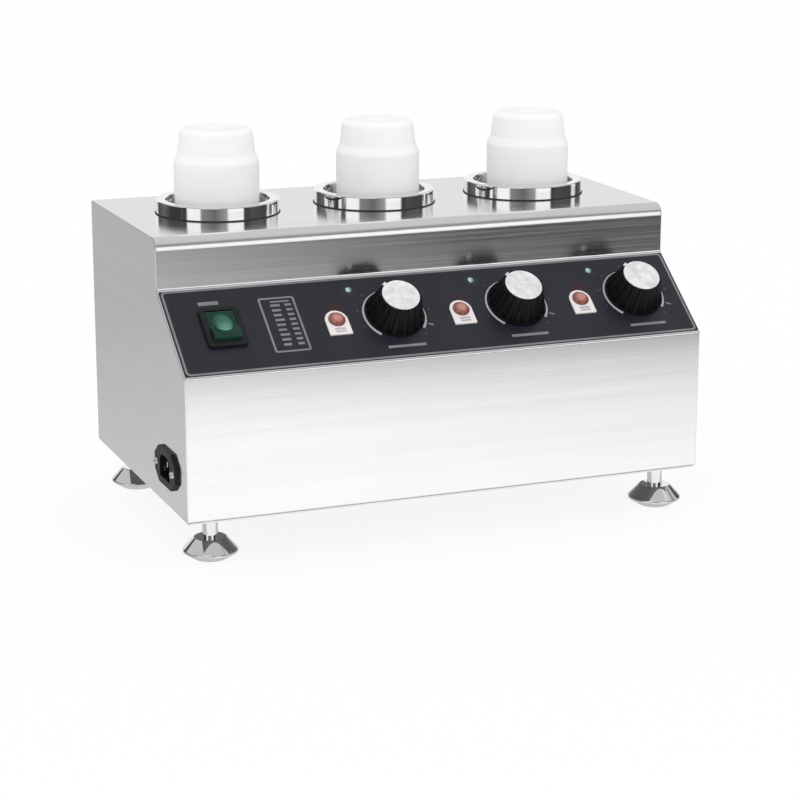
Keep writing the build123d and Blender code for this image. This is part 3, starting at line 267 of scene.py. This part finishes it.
def rocker_painted_highlight(name):
    """Green tint that is deep on the rocker, with a painted highlight in pale green in and above
    its round lens, palest towards its lower side.
    """
    m = Shader(name, Specular_IOR_Level=0.25)
    centre = on_panel(*SWITCH, ROCKER_LENS_LIFT)
    offset = m.node("VectorMath", {0: m.place(), 1: centre}, operation="SUBTRACT").outputs[0]
    height = m.up_slope(offset)
    across = m.axes(offset)[0]
    # The painted highlight is an ellipse that stands a little above the lens.
    above = m.math("MULTIPLY", m.math("SUBTRACT", height, 0.0016), 0.78)
    reach = m.length(above, across)
    painted_highlight = m.ramp(m.span(height, 0.0, 1.0, (-0.006, 0.007)), [
        (0.0, (0.22, 0.44, 0.34)), (0.18, (0.10, 0.26, 0.19)), (0.38, (0.04, 0.14, 0.10)),
        (1.0, (0.03, 0.11, 0.075)),
    ])
    cloud = m.noise(90.0, 3.0, 0.5)
    deep = m.ramp(cloud, [(0.3, (0.004, 0.032, 0.022)), (0.7, (0.007, 0.048, 0.034))])
    m.colour(m.mix(m.span(reach, 1.0, 0.0, (0.0064, 0.0074)), deep, painted_highlight))
    m.rough(m.span(cloud, 0.18, 0.28))
    return m.material


def led_window(name):
    """Clear LED with a painted glint at its left, and a green that darkens towards its right."""
    m = Shader(name, Coat_Weight=0.5, Coat_Roughness=0.08)
    across = m.from_nearest(m.axes(m.place())[0], LAMPS[0][0] + LED_FROM_LAMP)
    cloud = m.noise(300.0, 3.0, 0.5)
    m.colour(m.ramp(m.span(across, 0.0, 1.0, (-0.003, 0.003)), [
        (0.0, (0.20, 0.26, 0.30)), (0.32, (0.62, 0.74, 0.78)), (0.55, (0.22, 0.38, 0.36)),
        (1.0, (0.05, 0.12, 0.11)),
    ]))
    m.rough(m.span(cloud, 0.1, 0.18))
    return m.material


def tinted_lens(name):
    """Red lens: a dark ring round a paler middle, the same for each lamp."""
    m = Shader(name, Coat_Weight=0.6, Coat_Roughness=0.06)
    x, y, z = m.axes(m.place())
    across = m.from_nearest(x, LAMPS[0][0])
    foot = on_panel(0, LAMPS[0][1])
    offset = m.node("CombineXYZ", {
        0: across, 1: m.math("SUBTRACT", y, foot.y), 2: m.math("SUBTRACT", z, foot.z),
    }).outputs[0]
    radius = m.length(m.up_slope(offset), across)
    m.colour(m.ramp(m.math("DIVIDE", radius, LENS_RADIUS * MM), [
        (0.0, (0.58, 0.22, 0.20)), (0.4, (0.52, 0.24, 0.19)), (0.62, (0.34, 0.12, 0.09)),
        (0.9, (0.20, 0.06, 0.045)),
    ]))
    cloud = m.noise(300.0, 3.0, 0.5)
    m.rough(m.span(cloud, 0.12, 0.2))
    return m.material


def shaded_plate(name, face, edge):
    """Plain plate with painted shade: its flat faces take a dark colour, and its cut edge all round
    keeps the brighter steel colour.
    """
    m = Shader(name, Metallic=1.0)
    up = m.axes(m.node("NewGeometry").outputs["Normal"])[2]
    # Painted shade: a mask of the flat faces, which are coloured dark, while the edge keeps the
    # steel's own colour.
    shade_mask = m.span(m.math("ABSOLUTE", up), 0.0, 1.0, (0.4, 0.6))
    cloud = m.noise(30.0, 4.0, 0.55)
    painted_shade_tone = m.ramp(cloud, [(0.3, scaled(face, 0.9)), (0.7, face)])
    m.colour(m.mix(shade_mask, edge, painted_shade_tone))
    m.rough(m.span(cloud, 0.3, 0.42))
    return m.material


MATERIALS = {
    "case_steel": brushed("case_steel_grain", (0.965, 0.965, 0.97)),
    "side_steel": brushed("side_steel_grain", (0.88, 0.88, 0.885), along="y"),
    "base_steel": shaded_plate("base_steel_painted_shade", (0.19, 0.19, 0.195), (0.86, 0.86, 0.865, 1)),
    "collar_chrome": mirror("collar_polish", (0.92, 0.92, 0.92)),
    "foot_chrome": mirror("foot_polish", (0.88, 0.88, 0.88)),
    "cup_steel": plastic(
        "cup_satin", (0.80, 0.80, 0.80), (0.90, 0.90, 0.90), (0.25, 0.4), Metallic=0.45
    ),
    "heater_steel": brushed("heater_dull", (0.5, 0.5, 0.5), (0.4, 0.6)),
    "zinc": plated("zinc_plate", (0.72, 0.72, 0.7), (0.25, 0.4)),
    "bottle_plastic": plastic(
        "milky_plastic", (0.94, 0.94, 0.94), (0.965, 0.965, 0.965), (0.32, 0.45), 300.0, 0.05,
        Specular_IOR_Level=0.2,
    ),
    "bottle_cap_plastic": plastic(
        "cap_plastic", (0.8, 0.8, 0.78), (0.88, 0.88, 0.86), (0.35, 0.5)
    ),
    "overlay_film": plastic(
        "overlay_satin", (0.008, 0.009, 0.016), (0.015, 0.016, 0.028), (0.34, 0.46), 1500.0
    ),
    "switch_black": plastic(
        "switch_black_grain", (0.003, 0.003, 0.004), (0.007, 0.007, 0.008), (0.5, 0.6)
    ),
    "rocker_green": rocker_painted_highlight("rocker_green_painted_highlight"),
    "lamp_white": plastic(
        "lamp_white_gloss", (0.82, 0.76, 0.76), (0.90, 0.84, 0.84), (0.25, 0.35)
    ),
    "lens_red": tinted_lens("lens_red_tint"),
    "led_clear": led_window("led_clear_painted_glint"),
    "thermostat_case": plastic(
        "thermostat_mould", (0.6, 0.56, 0.48), (0.7, 0.66, 0.58), (0.4, 0.55)
    ),
    "shaft_steel": brushed("shaft_turned", (0.7, 0.7, 0.7), (0.25, 0.4)),
    "knob_black": plastic(
        "knob_black_satin", (0.003, 0.003, 0.004), (0.007, 0.007, 0.008), (0.3, 0.42), 1200.0, 0.06,
        Specular_IOR_Level=0.14,
    ),
    "knob_cap_silver": plastic(
        "knob_cap_spun", (0.70, 0.70, 0.72), (0.97, 0.97, 0.98), (0.3, 0.42), 400.0, 0.05, 170.0,
        Metallic=0.25,
    ),
    "bulb_copper": plated("bulb_copper_tube", (0.72, 0.40, 0.26), (0.25, 0.4)),
    "inlet_black": plastic(
        "inlet_black_mould", (0.006, 0.006, 0.007), (0.011, 0.011, 0.012), (0.4, 0.55),
        Specular_IOR_Level=0.25,
    ),
    "pin_nickel": plated("pin_nickel_plate", (0.78, 0.77, 0.73), (0.15, 0.28)),
    "block_nylon": plastic("block_nylon_mould", (0.72, 0.70, 0.62), (0.8, 0.78, 0.7), (0.35, 0.5)),
    "lead_sleeve": plastic(
        "lead_sleeve_soft", (0.03, 0.03, 0.032), (0.05, 0.05, 0.052), (0.5, 0.65)
    ),
}
slot_of = {entry["node"]: entry["material_slot"] for entry in frame["record"]["subparts"]}
for name, node in nodes.items():
    material = MATERIALS[slot_of[name]]
    if not node.material_slots:
        node.data.materials.append(material)
    for place in node.material_slots:
        place.material = material


# ------------------------------------------------------------------------------ pieces
def piece(name, bm, material, body):
    """Turns a finished bmesh into an object that rides on a body and stands in a slot."""
    bmesh.ops.recalc_face_normals(bm, faces=bm.faces)
    mesh = bpy.data.meshes.new(name)
    bm.to_mesh(mesh)
    bm.free()
    mesh.materials.append(material)
    made = bpy.data.objects.new(name, mesh)
    scene.collection.objects.link(made)
    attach(made, body)


def join_rings(bm, rings):
    """Quads between each pair of rings that follow one another."""
    for a, b in rings:
        for n in range(len(a)):
            m = (n + 1) % len(a)
            bm.faces.new((a[n], a[m], b[m], b[n]))


def slab(bm, corners, base=OVERLAY_TOP):
    """A thin printed shape on the panel: a closed prism over an outline of (x, s)."""
    low = [bm.verts.new(on_panel(x, s, base)) for x, s in corners]
    high = [bm.verts.new(on_panel(x, s, base + INK)) for x, s in corners]
    bm.faces.new(high)
    bm.faces.new(low[::-1])
    join_rings(bm, [(low, high)])


def bar(bm, x0, x1, s0, s1, base=OVERLAY_TOP):
    slab(bm, [(x0, s0), (x1, s0), (x1, s1), (x0, s1)], base)


def strip(bm, inner, outer, closed=False):
    """A printed line between two matching rows of (x, s) points."""
    low, high = OVERLAY_TOP, OVERLAY_TOP + INK
    rows = []
    for near, far in zip(inner, outer):
        corners = (*near, low), (*far, low), (*far, high), (*near, high)
        rows.append([bm.verts.new(on_panel(*corner)) for corner in corners])
    pairs = list(zip(rows, rows[1:]))
    if closed:
        pairs.append((rows[-1], rows[0]))
    join_rings(bm, pairs)
    if not closed:
        bm.faces.new(rows[0][::-1])
        bm.faces.new(rows[-1])


def rounded(x0, x1, s0, s1, radius, steps=6):
    """Outline of a rectangle with round corners."""
    points = []
    for cx, cs, start in (
        (x1 - radius, s1 - radius, 0), (x0 + radius, s1 - radius, 90),
        (x0 + radius, s0 + radius, 180), (x1 - radius, s0 + radius, 270),
    ):
        for n in range(steps + 1):
            a = radians(start + 90 * n / steps)
            points.append((cx + radius * cos(a), cs + radius * sin(a)))
    return points


def outline(bm, x0, x1, s0, s1, width, radius):
    """A rounded frame whose line is width wide."""
    inner = rounded(x0 + width, x1 - width, s0 + width, s1 - width, radius - 0.7 * width)
    strip(bm, inner, rounded(x0, x1, s0, s1, radius), closed=True)


def arc(bm, centre, start, end, r0, r1, steps):
    """Part of a ring. r0 and r1 are its inner and outer radius, each at (start, end)."""
    inner, outer = [], []
    for n in range(steps + 1):
        t = n / steps
        a = radians(start + (end - start) * t)
        for row, (first, last) in ((inner, r0), (outer, r1)):
            r = first + (last - first) * t
            row.append((centre[0] + r * cos(a), centre[1] + r * sin(a)))
    strip(bm, inner, outer)


def disc(bm, x, s, r, sides=16):
    turns = [2 * pi * n / sides for n in range(sides)]
    slab(bm, [(x + r * cos(a), s + r * sin(a)) for a in turns])


# Print on the overlay, one mesh for each ink, and meshes of their own for the painted LED halo and
# the crimson patch.
bright, line, faint, crimson_patch, soft, led_halo = (bmesh.new() for _ in range(6))
outline(line, *PANEL_FRAME, PANEL_LINE, PANEL_CORNER)
for cx, cs in KNOBS:
    arc(bright, (cx, cs), *DIAL_ARC_LEFT)
    arc(bright, (cx, cs), *DIAL_ARC_RIGHT)
    arc(line, (cx, cs), *DIAL_TICK)
    for turn in DIAL_DOTS:
        a = radians(turn)
        disc(faint, cx + DOT_REACH * cos(a), cs + DOT_REACH * sin(a), DOT_RADIUS)
    bar(line, cx + CAPTION_LEFT, cx + CAPTION_RIGHT, *CAPTION_S)
for cx, cs in LAMPS:
    # Each LED gets a painted halo of light on the panel round it.
    disc(led_halo, cx + LED_FROM_LAMP, LED_S - LED_HALO_DROP, LED_HALO_RADIUS, 24)
    # A dark crimson patch stands on the panel above each lamp.
    slab(crimson_patch, [(cx + x, cs + s) for x, s in rounded(*LAMP_PATCH, LAMP_PATCH_CORNER)])
    x0, x1, s0, s1 = LAMP_MARK
    for row in range(2):
        rise = cs + LAMP_MARK_STEP * row
        bar(soft, cx + x0, cx + x1, s0 + rise, s1 + rise, LAMP_PLATE_TOP)
outline(line, *TABLE_FRAME, TABLE_LINE, TABLE_CORNER)
for row in range(TABLE_ROWS):
    s = TABLE_FOOT + row * TABLE_STEP
    bar(line, TABLE_LEFT[0], TABLE_LEFT[1] + (row % 3) * TABLE_RAGGED, s, s + TABLE_BAR)
    bar(line, *TABLE_RIGHT, s, s + TABLE_BAR)
bar(line, *TABLE_HEAD)
bar(line, *SWITCH_MARK)
INKS = (
    ("print_white", bright, (0.40, 0.405, 0.43), (0.52, 0.525, 0.55)),
    ("print_grey", line, (0.17, 0.172, 0.19), (0.26, 0.262, 0.285)),
    ("print_faint", faint, (0.05, 0.05, 0.058), (0.09, 0.09, 0.10)),
    ("print_wine", crimson_patch, (0.020, 0.006, 0.010), (0.034, 0.010, 0.016)),
    ("print_teal", led_halo, (0.010, 0.018, 0.022), (0.018, 0.030, 0.036)),
    ("print_soft", soft, (0.40, 0.37, 0.40), (0.52, 0.49, 0.52)),
)
for name, bm, low, high in INKS:
    ink = plastic(name, low, high, (0.36, 0.48))
    piece("overlay_" + name, bm, ink, "case")

# A thin dark ring runs round the foot of each collar: painted shade in the seam where the collar
# meets the top.
bm = bmesh.new()
for cx, cy in WELLS:
    rings = []
    for out, rise in SEAM_SHADE:
        reach = COLLAR_RADIUS + out
        ring = []
        for n in range(SEAM_SHADE_STEPS):
            a = 2 * pi * n / SEAM_SHADE_STEPS
            at = Vector((cx + reach * cos(a), cy + reach * sin(a), TOP_Z + rise)) * MM
            ring.append(bm.verts.new(at))
        rings.append(ring)
    join_rings(bm, zip(rings, rings[1:] + rings[:1]))
seam_shade = plastic("painted_seam_shade", (0.010, 0.010, 0.011), (0.020, 0.020, 0.022), (0.5, 0.65))
piece("collar_seam_shade", bm, seam_shade, "case")

# -------------------------------------------------------------------------------- stage
floor_mesh = bpy.data.meshes.new("floor")
bm = bmesh.new()
bmesh.ops.create_circle(bm, cap_ends=True, radius=FLOOR_RADIUS, segments=96)
bm.to_mesh(floor_mesh)
bm.free()
floor = bpy.data.objects.new("floor", floor_mesh)
floor.location.z = -FLOOR_DROP
scene.collection.objects.link(floor)
floor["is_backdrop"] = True

# The floor is white in view and keeps the object's shadow. Metal sees it as a bright sheet
# that fades with distance, and polished metal sees past the sheet's edge to the studio.
floor_material = bpy.data.materials.new("floor_pale")
g = Graph(floor_material, clear=True)
rays = g.node("LightPath").outputs
x, y = g.axes(g.node("TexCoord").outputs["Object"])[:2]
ahead = g.span(y, 1.0, 0.0, (-1.52, -0.02))
fade_left = g.ramp(ahead, [
    (0.06, 0.55), (0.08, 1.0), (0.347, 1.0), (0.403, 0.70), (0.449, 0.52), (0.505, 0.45),
    (1.0, 0.38),
])
fade_right = g.ramp(ahead, [
    (0.06, 0.55), (0.08, 1.0), (0.15, 0.93), (0.30, 0.80), (0.375, 0.74), (0.421, 0.38),
    (0.468, 0.07), (1.0, 0.03),
])
in_front = g.mix(g.span(x, 0.0, 1.0, (-0.03, 0.50)), fade_left, fade_right)
behind = g.ramp(g.span(y, 0.0, 1.0, (0.0, 0.8)), [(0.1, 0.60), (0.9, 0.48)])
sheet = g.mix(g.math("GREATER_THAN", y, 0.0), in_front, behind)
glossy = rays["Is Glossy Ray"]
sharp = rays["Is Singular Ray"]
tone = g.mix(glossy, (1, 1, 1, 1), sheet)
share = g.math("MAXIMUM", g.math("MULTIPLY", rays["Is Camera Ray"], 0.9), glossy)
matt = g.node("BsdfDiffuse", {"Color": (0.95, 0.95, 0.95, 1)}).outputs[0]
glow = g.node("Emission", {"Color": tone, "Strength": 1.0}).outputs[0]
near = g.node("MixShader", {0: share, 1: matt, 2: glow}).outputs[0]
beyond = g.math("MULTIPLY", sharp, g.math("GREATER_THAN", g.length(x, y), SHEET_RADIUS))
clear = g.node("BsdfTransparent").outputs[0]
whole = g.node("MixShader", {0: beyond, 1: near, 2: clear}).outputs[0]
g.node("OutputMaterial", {"Surface": whole})
floor.data.materials.append(floor_material)

# The studio: even for matt surfaces, with soft boxes and dark gaps for polished ones.
world = bpy.data.worlds.new("studio")
scene.world = world
g = Graph(world, clear=True)
rays = g.node("LightPath").outputs
x, y, z = g.axes(g.node("TexCoord").outputs["Generated"])
turn = g.span(g.math("ARCTAN2", y, x), 0.0, 1.0, (-pi, pi))
boxes = g.ramp(turn, [((degrees + 180) / 360, value) for degrees, value in (
    (-180, 0.07), (-168, 0.03), (-165, 1.0), (-141, 1.0), (-138, 0.24), (-112, 0.13), (-91, 0.34),
    (-87, 1.0), (-60, 1.0), (-57, 0.04), (-6, 0.05), (-2, 0.85), (8, 0.85), (12, 0.06), (35, 0.12),
    (48, 0.93), (102, 0.93), (110, 0.05), (135, 0.14), (155, 0.04),
)])
ahead = g.math("LESS_THAN", y, 0.0)
full = g.math("MAXIMUM", rays["Is Singular Ray"], ahead)
dimmed = g.mix(1.0, boxes, (0.84, 0.84, 0.84, 1), "MULTIPLY")
low = g.mix(full, dimmed, boxes)
upper = g.mix(ahead, (0.58, 0.58, 0.58, 1), (0.26, 0.26, 0.26, 1))
middle = g.mix(g.span(z, 0.0, 1.0, (0.36, 0.44)), low, upper)
sky = g.mix(g.span(z, 0.0, 1.0, (0.66, 0.82)), middle, (0.57, 0.57, 0.57, 1))
lit = g.mix(rays["Is Glossy Ray"], (1, 1, 1, 1), sky)
seen = g.mix(rays["Is Camera Ray"], lit, (1, 1, 1, 1))
g.node("OutputWorld", {"Surface": g.node("Background", {"Color": seen}).outputs[0]})


def area(name, place, target, size, power):
    """A rectangular lamp at place that faces target."""
    data = bpy.data.lights.new(name, "AREA")
    data.shape = "RECTANGLE"
    data.size, data.size_y = size
    data.energy = power
    lamp = bpy.data.objects.new(name, data)
    lamp.location = place
    lamp.rotation_euler = (Vector(target) - Vector(place)).to_track_quat("-Z", "Y").to_euler()
    scene.collection.objects.link(lamp)


area("key", (-1.2, -1.6, 1.9), (0, 0, 0.15), (1.4, 1.0), 3.5)
area("fill", (1.6, -0.9, 1.3), (0, 0, 0.15), (1.2, 1.2), 1.2)

camera_data = bpy.data.cameras.new("camera")
camera_data.sensor_width = SENSOR_WIDTH
camera_data.lens = FOCAL_PIXELS / IMAGE_WIDTH * SENSOR_WIDTH
camera_data.clip_start = 0.05
camera = bpy.data.objects.new("camera", camera_data)
camera.location = CAMERA_PLACE
yaw = Matrix.Rotation(radians(CAMERA_YAW), 3, "Z")
pitch = Matrix.Rotation(radians(90 - CAMERA_DOWN), 3, "X")
roll = Matrix.Rotation(radians(CAMERA_ROLL), 3, "Z")
camera.rotation_euler = (yaw @ pitch @ roll).to_euler()
scene.collection.objects.link(camera)
scene.camera = camera

scene.view_settings.view_transform = "Standard"
boxes = {"cad": cad_box, "visual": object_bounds()}
